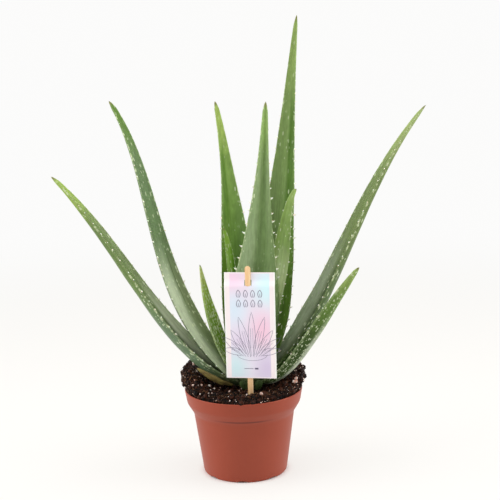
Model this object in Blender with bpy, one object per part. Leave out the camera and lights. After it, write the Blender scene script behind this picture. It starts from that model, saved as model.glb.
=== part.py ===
"""Young aloe in a 12 cm nursery pot, with a care card held on a bamboo splint.

Metres, +Z up, the front looks along -Y. The origin is the centre of the pot's
flat underside. Every leaf is a loft along its own curved midline; the pot, the
soil and the stem are turned shapes; the card and the splint are thin plates.
"""

import math
from typing import NamedTuple

import bmesh
import bpy
from mathutils import Vector
from mathutils.geometry import interpolate_bezier

# Driving dimensions -------------------------------------------------------------

GAP = 0.0004  # air between neighbours that touch on the real plant

POT_HEIGHT = 0.0875
RIM_RADIUS = 0.060
BAND_FOOT_RADIUS = 0.0579  # rim band, at the top of its shoulder
BAND_FOOT_Z = 0.075
BODY_TOP_RADIUS = 0.0518  # body, where the shoulder lands on it
BODY_TOP_Z = 0.0642
BASE_RADIUS = 0.0427
WALL = 0.0014
FLOOR = 0.0032
FOOT_ARCHES = 8  # low openings under the edge of the base, each with a drain hole
ARCH_WIDTH = 0.011
ARCH_HEIGHT = 0.0018
ARCH_START = 0.031
FIRST_ARCH = math.radians(-94.5)
DRAIN_RADIUS = 0.003
DRAIN_CIRCLE = 0.0365
TURN_STEPS = 56

SOIL_STEPS = 48
SOIL_LEVEL = 0.0885  # at the front, just over the rim
CROWN = Vector((0.006, 0.0, 0.0))  # where the rosette stands in the soil

STEM_TOP = 0.0960
STEM_BOTTOM = 0.045

SPLINT_WIDTH = 0.0054
SPLINT_THICKNESS = 0.0011
SPLINT_BOTTOM = 0.040
SPLINT_TOP = 0.2200
SPLINT_PLACE = Vector((0.0073, -0.034, 0.0))

CARD_WIDTH = 0.050
CARD_BOTTOM = 0.1070
CARD_TOP = 0.2135
CARD_THICKNESS = 0.0005
CARD_CENTRE_X = 0.0088
CARD_TURN = math.radians(8)  # about Z, its right edge nearer the front
SLIT_Z = 0.2030
SLIT_HEIGHT = 0.0060
SLIT_BEND = 0.0080  # height over which the card steps from before to behind the splint

LEAF_RINGS = 20
SECTION_STEPS = 6  # across the leaf, on each of its two sides


class Leaf(NamedTuple):
    name: str
    midline: tuple  # foot, foot handle, tip handle and tip of a cubic Bezier curve
    widths: tuple  # at the foot, a quarter, half, three quarters and the tip
    facing: float  # degrees from +X to the way the outer side looks
    colour: tuple
    presses: tuple = ()  # younger leaves that this one is hollowed by


BLUE_GREEN = (0.16, 0.25, 0.15)
MID_GREEN = (0.13, 0.24, 0.08)
YOUNG_GREEN = (0.20, 0.36, 0.05)
DRY_BROWN = (0.42, 0.32, 0.08)

LEAVES = [
    Leaf(
        "leaf_inner_left",
        ((0.003, 0.004, 0.100), (-0.015, 0.007, 0.149),
         (-0.004, 0.008, 0.207), (-0.016, 0.010, 0.250)),
        (0.010, 0.014, 0.010, 0.009, 0.003),
        115,
        YOUNG_GREEN,
    ),
    Leaf(
        "leaf_small_left",
        ((-0.007, -0.003, 0.099), (-0.029, 0.003, 0.134),
         (-0.037, 0.008, 0.176), (-0.041, 0.012, 0.213)),
        (0.012, 0.018, 0.017, 0.010, 0.002),
        145,
        YOUNG_GREEN,
        ("leaf_inner_left",),
    ),
    Leaf(
        "leaf_inner_right",
        ((0.012, 0.000, 0.100), (0.042, 0.005, 0.169),
         (0.042, 0.007, 0.272), (0.058, 0.009, 0.288)),
        (0.012, 0.015, 0.018, 0.010, 0.003),
        45,
        MID_GREEN,
        ("leaf_inner_left",),
    ),
    Leaf(
        "leaf_centre",
        ((0.009, -0.014, 0.098), (0.015, -0.019, 0.191),
         (0.024, -0.016, 0.277), (0.029, -0.010, 0.377)),
        (0.032, 0.052, 0.031, 0.014, 0.004),
        -85,
        BLUE_GREEN,
        ("leaf_inner_left", "leaf_small_left", "leaf_inner_right"),
    ),
    Leaf(
        "leaf_back_left",
        ((-0.006, 0.012, 0.099), (-0.006, 0.022, 0.189),
         (-0.006, 0.040, 0.287), (-0.022, 0.062, 0.373)),
        (0.022, 0.035, 0.028, 0.013, 0.004),
        110,
        MID_GREEN,
        ("leaf_inner_left", "leaf_small_left", "leaf_inner_right"),
    ),
    Leaf(
        "leaf_tall",
        ((0.016, 0.013, 0.099), (0.040, 0.024, 0.166),
         (0.049, 0.034, 0.340), (0.063, 0.048, 0.458)),
        (0.024, 0.044, 0.030, 0.014, 0.003),
        75,
        MID_GREEN,
        ("leaf_inner_left", "leaf_inner_right", "leaf_centre", "leaf_back_left"),
    ),
    Leaf(
        "leaf_left",
        ((-0.010, 0.001, 0.098), (-0.098, 0.006, 0.184),
         (-0.078, 0.024, 0.294), (-0.129, 0.048, 0.377)),
        (0.024, 0.026, 0.020, 0.013, 0.005),
        140,
        BLUE_GREEN,
        ("leaf_inner_left", "leaf_small_left", "leaf_centre", "leaf_back_left"),
    ),
    Leaf(
        "leaf_right",
        ((0.024, 0.001, 0.097), (0.096, 0.003, 0.156),
         (0.110, 0.011, 0.270), (0.189, 0.024, 0.367)),
        (0.021, 0.030, 0.024, 0.015, 0.004),
        20,
        BLUE_GREEN,
        ("leaf_inner_right", "leaf_centre", "leaf_tall"),
    ),
    Leaf(
        "leaf_far_left",
        ((-0.020, -0.004, 0.097), (-0.088, -0.004, 0.139),
         (-0.121, -0.002, 0.242), (-0.185, 0.006, 0.307)),
        (0.028, 0.029, 0.022, 0.015, 0.005),
        168,
        BLUE_GREEN,
        ("leaf_small_left", "leaf_centre", "leaf_left", "leaf_back_left"),
    ),
    Leaf(
        "leaf_small_right",
        ((0.024, -0.017, 0.097), (0.051, -0.020, 0.096),
         (0.085, -0.024, 0.171), (0.116, -0.034, 0.216)),
        (0.015, 0.021, 0.022, 0.017, 0.005),
        -30,
        MID_GREEN,
        ("leaf_centre", "leaf_right"),
    ),
]


# Scene helpers ------------------------------------------------------------------


def clear_scene():
    for obj in list(bpy.data.objects):
        bpy.data.objects.remove(obj, do_unlink=True)


def material(name, colour, roughness, metallic=0.0):
    made = bpy.data.materials.new(name)
    made.use_nodes = True
    shader = made.node_tree.nodes["Principled BSDF"]
    shader.inputs["Base Color"].default_value = (*colour, 1.0)
    shader.inputs["Roughness"].default_value = roughness
    shader.inputs["Metallic"].default_value = metallic
    made.diffuse_color = (*colour, 1.0)
    return made


def add_object(name, mesh, finish=None, smooth=True):
    obj = bpy.data.objects.new(name, mesh)
    bpy.context.scene.collection.objects.link(obj)
    if finish:
        mesh.materials.append(finish)
    if smooth:
        mesh.shade_smooth()
        mesh.set_sharp_from_angle(angle=math.radians(35))
    return obj


def skin(name, rings):
    """Close a stack of rings into one solid; a ring of one point is a pole."""
    bm = bmesh.new()
    levels = [[bm.verts.new(point) for point in ring] for ring in rings]
    for low, high in zip(levels, levels[1:]):
        count = max(len(low), len(high))
        for i in range(count):
            j = (i + 1) % count
            corners = []
            for ring, order in ((low, (i, j)), (high, (j, i))):
                corners += [ring[k % len(ring)] for k in order] if len(ring) > 1 else [ring[0]]
            bm.faces.new(corners)
    for end in (levels[0], levels[-1]):
        if len(end) > 1:
            bm.faces.new(end)
    bmesh.ops.recalc_face_normals(bm, faces=bm.faces)
    mesh = bpy.data.meshes.new(name)
    bm.to_mesh(mesh)
    bm.free()
    return mesh


def box(name, low, high):
    """A box between two corners, as a mesh."""
    x0, y0, z0 = low
    x1, y1, z1 = high
    rings = [
        [Vector((x0, y0, z)), Vector((x1, y0, z)), Vector((x1, y1, z)), Vector((x0, y1, z))]
        for z in (z0, z1)
    ]
    return skin(name, rings)


def circle(radius, height, steps, centre=Vector()):
    turn = 2 * math.pi / steps
    return [
        centre + Vector((radius * math.cos(turn * k), radius * math.sin(turn * k), height))
        for k in range(steps)
    ]


def cut(target, cutter_mesh, place=(0, 0, 0), turn=0.0):
    """Boolean the cutter out of the target; the cutter stays as a wire guide."""
    tool = add_object(f"{target.name}_cutter_{len(target.modifiers)}", cutter_mesh, smooth=False)
    tool.location = place
    tool.rotation_euler.z = turn
    tool.hide_render = True
    tool.display_type = "WIRE"
    step = target.modifiers.new("Cut", "BOOLEAN")
    step.operation = "DIFFERENCE"
    step.solver = "EXACT"
    step.object = tool


# Pot ----------------------------------------------------------------------------


def pot_profile():
    """Radius and height of the pot's skin, from under the floor round to the inside."""
    lip = 0.0007
    outside = [
        (BASE_RADIUS - 0.0012, 0.0),
        (BASE_RADIUS, 0.0012),
        (BODY_TOP_RADIUS - 0.0006, BODY_TOP_Z - 0.0017),
        (BODY_TOP_RADIUS, BODY_TOP_Z),
        (BAND_FOOT_RADIUS - 0.0007, BAND_FOOT_Z - 0.0018),
        (BAND_FOOT_RADIUS, BAND_FOOT_Z),
        (RIM_RADIUS, POT_HEIGHT - lip),
        (RIM_RADIUS - lip / 2, POT_HEIGHT),
    ]
    inside = [(radius - WALL, height + 0.0002) for radius, height in outside[2:7]]
    floor_edge = [
        (BASE_RADIUS - WALL + 0.0003, FLOOR + 0.0012),
        (BASE_RADIUS - WALL - 0.0009, FLOOR),
    ]
    top = [(RIM_RADIUS - WALL + lip / 2, POT_HEIGHT)]
    return outside + top + inside[::-1] + floor_edge


def make_pot(finish):
    rings = [circle(radius, height, TURN_STEPS) for radius, height in pot_profile()]
    pot = add_object("pot", skin("pot", rings), finish)
    for k in range(FOOT_ARCHES):
        heading = FIRST_ARCH + 2 * math.pi * k / FOOT_ARCHES
        arch = box(
            "arch",
            (ARCH_START, -ARCH_WIDTH / 2, -ARCH_HEIGHT),
            (BASE_RADIUS + 0.004, ARCH_WIDTH / 2, ARCH_HEIGHT),
        )
        cut(pot, arch, turn=heading)
        centre = DRAIN_CIRCLE * Vector((math.cos(heading), math.sin(heading), 0))
        hole = [circle(DRAIN_RADIUS, z, 12) for z in (-ARCH_HEIGHT, 2 * FLOOR)]
        cut(pot, skin("drain", hole), centre)
    return pot


# Soil and stem ------------------------------------------------------------------


def heaped(angle):
    """0 at the front, where the soil is low, and 1 at the sides and the back."""
    start, full = -0.93, -0.15
    t = min(max((math.sin(angle) - start) / (full - start), 0.0), 1.0)
    return t * t * (3 - 2 * t)


def soil_rings():
    """The root ball inside the pot, its overhang above the rim and its top."""
    side = [(r - GAP, z + GAP) for r, z in pot_profile()[:8:-1]]
    rings = [circle(radius, height, SOIL_STEPS) for radius, height in side[:-1]]
    rings.append(circle(side[-1][0], POT_HEIGHT - 0.0012, SOIL_STEPS))
    # radius, rise of the radius, height over the front level, rise of the height
    crown_rings = [
        (0.0574, 0.0006, 0.0000, 0.0006),
        (0.0570, 0.0054, 0.0005, 0.0095),
        (0.0555, 0.0040, 0.0015, 0.0165),
        (0.0520, 0.0010, 0.0020, 0.0185),
        (0.0440, 0.0000, 0.0025, 0.0120),
        (0.0330, 0.0000, 0.0020, 0.0050),
        (0.0230, 0.0000, 0.0020, 0.0015),
        (0.0100, 0.0000, 0.0015, 0.0000),
    ]
    turn = 2 * math.pi / SOIL_STEPS
    for radius, spread, level, rise in crown_rings:
        ring = []
        for k in range(SOIL_STEPS):
            heap = heaped(turn * k)
            reach = radius + spread * heap
            height = SOIL_LEVEL + level + rise * heap
            ring.append(Vector((reach * math.cos(turn * k), reach * math.sin(turn * k), height)))
        rings.append(ring)
    rings.append([Vector((0, 0, SOIL_LEVEL + 0.0015))])
    return rings


def stem_rings(extra=0.0):
    """The stem widens towards the crown; extra makes the hole it stands in."""
    profile = [
        (0.0040, STEM_BOTTOM - extra),
        (0.0070, STEM_BOTTOM + 0.010),
        (0.0100, STEM_TOP - 0.016),
        (0.0150, STEM_TOP - 0.006),
        (0.0150, STEM_TOP - 0.003),
        (0.0110, STEM_TOP + extra),
    ]
    return [circle(radius + extra, height, 20, CROWN) for radius, height in profile]


def make_soil(finish):
    soil = add_object("potting_soil", skin("potting_soil", soil_rings()), finish)
    cut(soil, skin("stem_hole", stem_rings(GAP)))
    half = Vector((SPLINT_WIDTH / 2 + GAP, SPLINT_THICKNESS / 2 + GAP, 0))
    low = -half + Vector((0, 0, SPLINT_BOTTOM - GAP))
    high = half + Vector((0, 0, SPLINT_TOP))
    cut(soil, box("splint_hole", low, high), SPLINT_PLACE, -CARD_TURN)
    return soil


# Leaves -------------------------------------------------------------------------


def along(values, part):
    """A smooth value between evenly spaced stations (Catmull-Rom)."""
    last = len(values) - 1
    place = min(max(part, 0.0), 1.0) * last
    i = min(int(place), last - 1)
    f = place - i
    b, c = values[i], values[i + 1]
    a = values[i - 1] if i > 0 else 2 * b - c
    d = values[i + 2] if i + 2 <= last else 2 * c - b
    return 0.5 * (
        2 * b + (c - a) * f + (2 * a - 5 * b + 4 * c - d) * f**2 + (3 * b - a - 3 * c + d) * f**3
    )


def leaf_section(width, part, extra=0.0):
    """A crescent: points (across, outward) with the channel on the inner side."""
    thickness = width * (0.27 + 0.25 * part**2) + 2 * extra
    channel = width * 0.22 * (1 - 0.75 * part)
    half = width / 2 + extra
    turn = math.pi / SECTION_STEPS
    stations = [-math.cos(turn * k) for k in range(SECTION_STEPS + 1)]
    inner = [(half * u, -thickness / 2 - channel * u * u) for u in stations]
    outer = [
        (across, low + thickness * max(1 - u * u, 0.0) ** 0.65)
        for u, (across, low) in zip(stations, inner)
    ]
    return outer + inner[-2:0:-1]


def leaf_frame(before, after, facing):
    """Tangent, across and outward directions at one place on a midline."""
    tangent = (after - before).normalized()
    ahead = Vector((math.cos(facing), math.sin(facing), 0))
    outward = ahead * tangent.z - Vector((0, 0, math.hypot(tangent.x, tangent.y)))
    outward = (outward - tangent * outward.dot(tangent)).normalized()
    return tangent, tangent.cross(outward), outward


def leaf_mesh(leaf, extra=0.0):
    """Loft a leaf's crescent along its midline, closed by a foot face and a tip."""
    spine = interpolate_bezier(*map(Vector, leaf.midline), LEAF_RINGS + 1)
    facing = math.radians(leaf.facing)
    rings = []
    for k in range(LEAF_RINGS):
        part = k / LEAF_RINGS
        tangent, across, outward = leaf_frame(spine[max(k - 1, 0)], spine[k + 1], facing)
        centre = spine[k] - tangent * extra * (k == 0)
        width = along(leaf.widths, part)
        ring = [
            centre + across * a + outward * b for a, b in leaf_section(width, part, extra)
        ]
        rings.append(ring)
    rings.append([spine[-1] + tangent * extra])
    return skin(leaf.name, rings)


def make_leaf(leaf):
    finish = material(leaf.name, leaf.colour, 0.45)
    made = add_object(leaf.name, leaf_mesh(leaf), finish)
    cut(made, skin("stem_hollow", stem_rings(GAP)))
    for name in leaf.presses:
        cut(made, leaf_mesh(next(other for other in LEAVES if other.name == name), GAP))
    return made


# Card and splint ----------------------------------------------------------------


def card_offset(height):
    """How far the card lies behind the splint's middle plane at a height."""
    stand_off = SPLINT_THICKNESS / 2 + CARD_THICKNESS / 2 + GAP
    t = min(max((height - SLIT_Z) / SLIT_BEND + 0.5, 0.0), 1.0)
    return stand_off * (2 * t * t * (3 - 2 * t) - 1)


def make_card(finish):
    """A thin plate that steps from before the splint to behind it at the slit."""
    stations = [CARD_BOTTOM, SLIT_Z - SLIT_BEND / 2]
    stations += [SLIT_Z + SLIT_BEND * (k / 8 - 0.5) for k in range(1, 9)]
    stations += [CARD_TOP]
    left = CARD_CENTRE_X - SPLINT_PLACE.x - CARD_WIDTH / 2
    rings = []
    for height in stations:
        back = card_offset(height)
        ring = [
            Vector((x, back + y, height))
            for x, y in (
                (left, -CARD_THICKNESS / 2),
                (left + CARD_WIDTH, -CARD_THICKNESS / 2),
                (left + CARD_WIDTH, CARD_THICKNESS / 2),
                (left, CARD_THICKNESS / 2),
            )
        ]
        rings.append(ring)
    card = add_object("care_card", skin("care_card", rings), finish, smooth=False)
    card.location = SPLINT_PLACE
    card.rotation_euler.z = -CARD_TURN
    half = Vector((SPLINT_WIDTH / 2 + 2 * GAP, 0.01, SLIT_HEIGHT / 2))
    middle = Vector((0, 0, SLIT_Z))
    cut(card, box("slit", middle - half, middle + half), SPLINT_PLACE, -CARD_TURN)
    return card


def make_splint(finish):
    """A flat bamboo strip with a rounded top and a slanted lower end."""
    half_width, half_depth = SPLINT_WIDTH / 2, SPLINT_THICKNESS / 2
    outline = [(-half_width, SPLINT_BOTTOM + 0.006), (half_width, SPLINT_BOTTOM)]
    outline += [
        (half_width * math.cos(a), SPLINT_TOP - half_width + half_width * math.sin(a))
        for a in (math.pi * k / 8 for k in range(9))
    ]
    faces = [[Vector((x, y, z)) for x, z in outline] for y in (-half_depth, half_depth)]
    splint = add_object("bamboo_splint", skin("bamboo_splint", faces), finish, smooth=False)
    splint.location = SPLINT_PLACE
    splint.rotation_euler.z = -CARD_TURN
    return splint


# Small leftovers at the soil ------------------------------------------------------

STUBS = [
    Leaf(
        "dry_leaf_base",
        ((-0.022, -0.022, 0.098), (-0.030, -0.024, 0.103),
         (-0.038, -0.025, 0.109), (-0.046, -0.024, 0.115)),
        (0.010, 0.012, 0.011, 0.008, 0.003),
        205,
        DRY_BROWN,
    ),
    Leaf(
        "leaf_stub_left",
        ((0.001, -0.024, 0.0925), (0.000, -0.026, 0.0960),
         (0.000, -0.027, 0.0990), (-0.001, -0.028, 0.1020)),
        (0.007, 0.008, 0.008, 0.006, 0.003),
        -95,
        YOUNG_GREEN,
    ),
    Leaf(
        "leaf_stub_right",
        ((0.015, -0.024, 0.0925), (0.016, -0.026, 0.0960),
         (0.016, -0.027, 0.0990), (0.017, -0.028, 0.1020)),
        (0.007, 0.008, 0.008, 0.006, 0.003),
        -80,
        YOUNG_GREEN,
    ),
]


def main():
    clear_scene()
    make_pot(material("red brown plastic", (0.33, 0.075, 0.037), 0.5))
    make_soil(material("peat", (0.020, 0.010, 0.007), 0.95))
    stem = skin("stem", stem_rings())
    add_object("stem", stem, material("stem", (0.30, 0.27, 0.10), 0.7))
    for leaf in LEAVES + STUBS:
        make_leaf(leaf)
    make_card(material("printed card", (0.80, 0.72, 0.80), 0.35))
    make_splint(material("bamboo", (0.74, 0.43, 0.20), 0.6))


main()
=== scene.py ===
# %% [markdown]
# # A young aloe in a nursery pot
#
# This lesson dresses a finished frame: the sizes and places of all pieces are
# already settled in it, and each step below makes one piece or one finish as it
# is on the real plant. Everything is in metres, +Z is up and the front looks
# along -Y.

# %% Load the frame and keep its box
import math
from typing import NamedTuple

import bmesh
import bpy
from mathutils import Matrix, Vector, noise


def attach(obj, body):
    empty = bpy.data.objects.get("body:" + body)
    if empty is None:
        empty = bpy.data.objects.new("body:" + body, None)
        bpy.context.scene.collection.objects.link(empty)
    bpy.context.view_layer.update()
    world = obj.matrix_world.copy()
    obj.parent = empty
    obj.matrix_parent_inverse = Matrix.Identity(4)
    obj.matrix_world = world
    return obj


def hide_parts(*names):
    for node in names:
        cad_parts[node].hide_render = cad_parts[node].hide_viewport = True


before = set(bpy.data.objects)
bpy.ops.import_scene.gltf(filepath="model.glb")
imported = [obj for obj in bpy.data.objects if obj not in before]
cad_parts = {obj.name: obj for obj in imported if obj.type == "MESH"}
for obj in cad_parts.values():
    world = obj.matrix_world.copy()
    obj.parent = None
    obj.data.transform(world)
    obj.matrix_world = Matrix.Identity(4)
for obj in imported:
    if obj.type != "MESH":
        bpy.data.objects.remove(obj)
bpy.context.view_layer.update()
print("frame pieces:", ", ".join(sorted(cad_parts)))

# %% [markdown]
# ## The studio
#
# The camera stands 1.2 m away, a bit above the plant. Its long lens keeps the
# leaves from spreading, and it looks slightly down on the soil.

# %% Camera
CAMERA_PLACE = Vector((0.0102, -1.2, 0.471))
CAMERA_DOWN = math.radians(11.4)
CAMERA_ROLL = math.radians(1.48)
VIEW_ANGLE = math.radians(23.0326)

scene = bpy.context.scene
camera = bpy.data.objects.new("camera", bpy.data.cameras.new("camera"))
scene.collection.objects.link(camera)
camera.data.sensor_width = 36
camera.data.angle = VIEW_ANGLE
camera.data.clip_start = 0.01
camera.matrix_world = (
    Matrix.Translation(CAMERA_PLACE)
    @ Matrix.Rotation(math.pi / 2 - CAMERA_DOWN, 4, "X")
    @ Matrix.Rotation(-CAMERA_ROLL, 4, "Z")
)
scene.camera = camera
print("lens:", round(camera.data.lens, 1), "mm")

# %% [markdown]
# Plants for sale are pictured on a white sweep, under light so soft that it
# comes from everywhere. A bright world gives that light. One large panel above
# and one on each side shape the leaves a little, so that they don't look flat.

# %% Light
ROOM_WHITE = (1.0, 0.998, 0.992)
WHITE_SEEN = 0.97  # how bright the room looks
ROOM_LIGHT = (0.42, 0.92)  # what it sends from behind the camera and from behind the plant
PANELS = {  # name: place, width, power in watts
    "panel_top": ((0.0, -0.30, 1.7), 1.4, 11),
    "panel_left": ((-1.3, -0.20, 0.75), 1.2, 15),
    "panel_right": ((1.3, -0.05, 0.75), 1.2, 13),
}
LOOK_AT = Vector((0, 0, 0.2))


def white_room():
    """A white room, darker behind the camera, that is seen brighter than it shines."""
    world = bpy.data.worlds.new("white room")
    world.use_nodes = True
    nodes = world.node_tree.nodes
    wires = world.node_tree.links
    shine = nodes["Background"]
    shine.inputs["Color"].default_value = (1, 1, 1, 1)
    heading = nodes.new("ShaderNodeTexCoord")
    split = nodes.new("ShaderNodeSeparateXYZ")
    shade = nodes.new("ShaderNodeMapRange")
    shade.interpolation_type = "SMOOTHSTEP"
    for socket, value in zip(range(1, 5), (-0.9, 0.5, *ROOM_LIGHT)):
        shade.inputs[socket].default_value = value
    wires.new(heading.outputs["Generated"], split.inputs[0])
    wires.new(split.outputs["Y"], shade.inputs[0])
    wires.new(shade.outputs[0], shine.inputs["Strength"])
    seen = nodes.new("ShaderNodeBackground")
    seen.inputs["Color"].default_value = (*ROOM_WHITE, 1)
    seen.inputs["Strength"].default_value = WHITE_SEEN
    rays = nodes.new("ShaderNodeLightPath")
    choose = nodes.new("ShaderNodeMixShader")
    wires.new(rays.outputs["Is Camera Ray"], choose.inputs[0])
    wires.new(shine.outputs[0], choose.inputs[1])
    wires.new(seen.outputs[0], choose.inputs[2])
    wires.new(choose.outputs[0], nodes["World Output"].inputs[0])
    return world


scene.view_settings.view_transform = "Standard"
scene.world = white_room()
for name, (place, width, power) in PANELS.items():
    panel = bpy.data.objects.new(name, bpy.data.lights.new(name, "AREA"))
    scene.collection.objects.link(panel)
    panel.data.size = width
    panel.data.energy = power
    panel.location = place
    panel.rotation_euler = (LOOK_AT - Vector(place)).to_track_quat("-Z", "Y").to_euler()
print("light panels:", len(PANELS))

# %% [markdown]
# ## Node wiring in plain Python
#
# A finish is a graph of nodes. Wiring it by hand hides the idea in boilerplate,
# so a small class lets an output socket take part in ordinary sums: `1 - mask`
# or `lines * 0.2` adds the Math nodes. Every other node comes from one method,
# which sets the node's own settings first and its sockets after. The same two
# classes wire both materials and Geometry Nodes.

# %% Sockets that can be added and multiplied
class Wire:
    """A node's output that takes part in sums."""

    def __init__(self, graph, socket):
        self.graph = graph
        self.socket = socket

    def __add__(self, other):
        return self.graph.maths("ADD", self, other)

    def __radd__(self, other):
        return self.graph.maths("ADD", other, self)

    def __sub__(self, other):
        return self.graph.maths("SUBTRACT", self, other)

    def __rsub__(self, other):
        return self.graph.maths("SUBTRACT", other, self)

    def __mul__(self, other):
        return self.graph.maths("MULTIPLY", self, other)

    def __rmul__(self, other):
        return self.graph.maths("MULTIPLY", other, self)

    def __abs__(self):
        return self.graph.maths("ABSOLUTE", self)


class Graph:
    """A node tree being wired."""

    def __init__(self, tree):
        self.tree = tree

    def fill(self, socket, value):
        """Link a wire to a socket, or set its value; a colour may leave out its alpha."""
        if isinstance(value, Wire):
            self.tree.links.new(value.socket, socket)
        elif socket.type == "RGBA" and len(value) == 3:
            socket.default_value = (*value, 1)
        else:
            socket.default_value = value

    def node(self, kind, settings=None, sockets=None, output=0):
        """Any node: its own settings first, then its sockets."""
        made = self.tree.nodes.new(kind)
        for key, value in (settings or {}).items():
            setattr(made, key, value)
        for key, value in (sockets or {}).items():
            self.fill(made.inputs[key], value)
        return Wire(self, made.outputs[output])

    def maths(self, operation, *values):
        return self.node("ShaderNodeMath", {"operation": operation}, dict(enumerate(values)))

    def fade(self, value, start, end):
        """0 before start and 1 after end, smooth between; start may be the larger."""
        settings = {"interpolation_type": "SMOOTHSTEP"}
        return self.node("ShaderNodeMapRange", settings, {0: value, 1: start, 2: end})

    def mix(self, factor, first, second):
        """A colour between two colours."""
        settings = {"data_type": "RGBA"}
        return self.node("ShaderNodeMix", settings, {0: factor, 6: first, 7: second}, 2)

    def stretch(self, vector, scale):
        """A vector with each of its parts multiplied."""
        return self.node("ShaderNodeVectorMath", {"operation": "MULTIPLY"}, {0: vector, 1: scale})

    def scaled(self, vector, factor):
        """A vector or a colour multiplied by a number."""
        sockets = {0: vector, "Scale": factor}
        return self.node("ShaderNodeVectorMath", {"operation": "SCALE"}, sockets)

    def split(self, value, part, kind="XYZ"):
        """One part of a vector ("XYZ") or of a colour ("Color")."""
        return self.node(f"ShaderNodeSeparate{kind}", None, {0: value}, part)

    def length(self, vector):
        return self.node("ShaderNodeVectorMath", {"operation": "LENGTH"}, {0: vector}, "Value")

    def noise(self, place, scale, detail=3.0, roughness=0.5):
        sockets = {"Vector": place, "Scale": scale, "Detail": detail, "Roughness": roughness}
        return self.node("ShaderNodeTexNoise", None, sockets)


class Finish(Graph):
    """A material with a Principled shader; constants are set on the shader itself."""

    def __init__(self, name, **constants):
        self.material = bpy.data.materials.new(name)
        self.material.use_nodes = True
        super().__init__(self.material.node_tree)
        self.shader = self.tree.nodes["Principled BSDF"]
        self.set(**constants)

    def set(self, **values):
        for key, value in values.items():
            self.fill(self.shader.inputs[key.replace("_", " ")], value)
        return self

    def object_place(self):
        return self.node("ShaderNodeTexCoord", output="Object")

    def attribute(self, name, output="Fac"):
        return self.node("ShaderNodeAttribute", {"attribute_name": name}, output=output)

    def bump(self, height, distance, strength=1.0):
        """Send a height to the shader's normal; distance is the real depth in metres."""
        sockets = {"Height": height, "Distance": distance, "Strength": strength}
        return self.set(Normal=self.node("ShaderNodeBump", None, sockets))


print("wiring classes ready")

# %% [markdown]
# The same wiring makes Geometry Nodes. A growth tree has named inputs with
# their sizes, and a modifier sets them by the socket's identifier. Its result
# is turned into a plain mesh at once, so nothing is left to evaluate later.

# %% Geometry Nodes helper
SOCKET_KINDS = {
    float: "NodeSocketFloat",
    int: "NodeSocketInt",
    tuple: "NodeSocketVector",
    bpy.types.Material: "NodeSocketMaterial",
}


class Growth(Graph):
    """A Geometry Nodes tree with named inputs."""

    def __init__(self, name, inputs):
        super().__init__(bpy.data.node_groups.new(name, "GeometryNodeTree"))
        face = self.tree.interface
        face.new_socket("Geometry", in_out="INPUT", socket_type="NodeSocketGeometry")
        face.new_socket("Geometry", in_out="OUTPUT", socket_type="NodeSocketGeometry")
        for key, value in inputs.items():
            kind = next(kind for each, kind in SOCKET_KINDS.items() if isinstance(value, each))
            socket = face.new_socket(key, in_out="INPUT", socket_type=kind)
            socket.default_value = value
        self.entry = self.tree.nodes.new("NodeGroupInput")

    def __getitem__(self, name):
        return Wire(self, self.entry.outputs[name])

    def named(self, name, kind="FLOAT"):
        settings = {"data_type": kind}
        return self.node("GeometryNodeInputNamedAttribute", settings, {"Name": name})

    def chance(self, low, high, seed):
        """A random number for each point; its output socket is the second one."""
        return self.node("FunctionNodeRandomValue", None, {2: low, 3: high, "Seed": seed}, 1)

    def finish(self, geometry):
        """End the tree as plain geometry with the tree's material."""
        real = self.node("GeometryNodeRealizeInstances", None, {0: geometry})
        sockets = {"Geometry": real, "Material": self["Material"]}
        coated = self.node("GeometryNodeSetMaterial", None, sockets)
        self.fill(self.tree.nodes.new("NodeGroupOutput").inputs[0], coated)
        return self


def add_object(name, mesh):
    made = bpy.data.objects.new(name, mesh)
    scene.collection.objects.link(made)
    return made


def grow(name, growth, base_mesh, **values):
    """Run a growth tree on a mesh and keep its result as a plain object."""
    base = add_object(name, base_mesh)
    modifier = base.modifiers.new("growth", "NODES")
    modifier.node_group = growth.tree
    for item in growth.tree.interface.items_tree:
        key = item.name.replace(" ", "_").lower()
        if item.in_out == "INPUT" and key in values:
            modifier[item.identifier] = values[key]
    graph = bpy.context.evaluated_depsgraph_get()
    grown = bpy.data.meshes.new_from_object(base.evaluated_get(graph))
    base.modifiers.clear()
    base.data = grown
    grown.name = name
    print(name, "has", len(grown.polygons), "faces")
    return base


# %% [markdown]
# ## The leaves
#
# An aloe leaf is a long crescent filled with gel: hollow on the inner side,
# round on the outer side, and sharp along both margins. It could be sculpted,
# but a loft says it best: one cubic Bezier midline for each leaf, a width that
# falls from the foot to the tip, and a crescent section carried along. Every
# vertex also remembers where it would lie if the leaf had grown straight. The
# finishes use that place, so their lines and spots follow the leaf and have no
# seam.

# %% The leaves' own values
class Leaf(NamedTuple):
    midline: tuple  # foot, foot handle, tip handle and tip of a cubic Bezier curve
    widths: tuple  # at the foot, a quarter, half, three quarters and the tip
    facing: float  # degrees from +X to the way the outer side looks
    finish: str
    teeth: float  # length of a tooth in metres, at its largest
    seed: int
    root: float = 0.62  # how far the foot reaches on to the crown's middle
    hollow: float = 1.0  # depth of the channel against the usual
    twist: float = 0.0  # degrees that the leaf has turned by its tip


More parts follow.
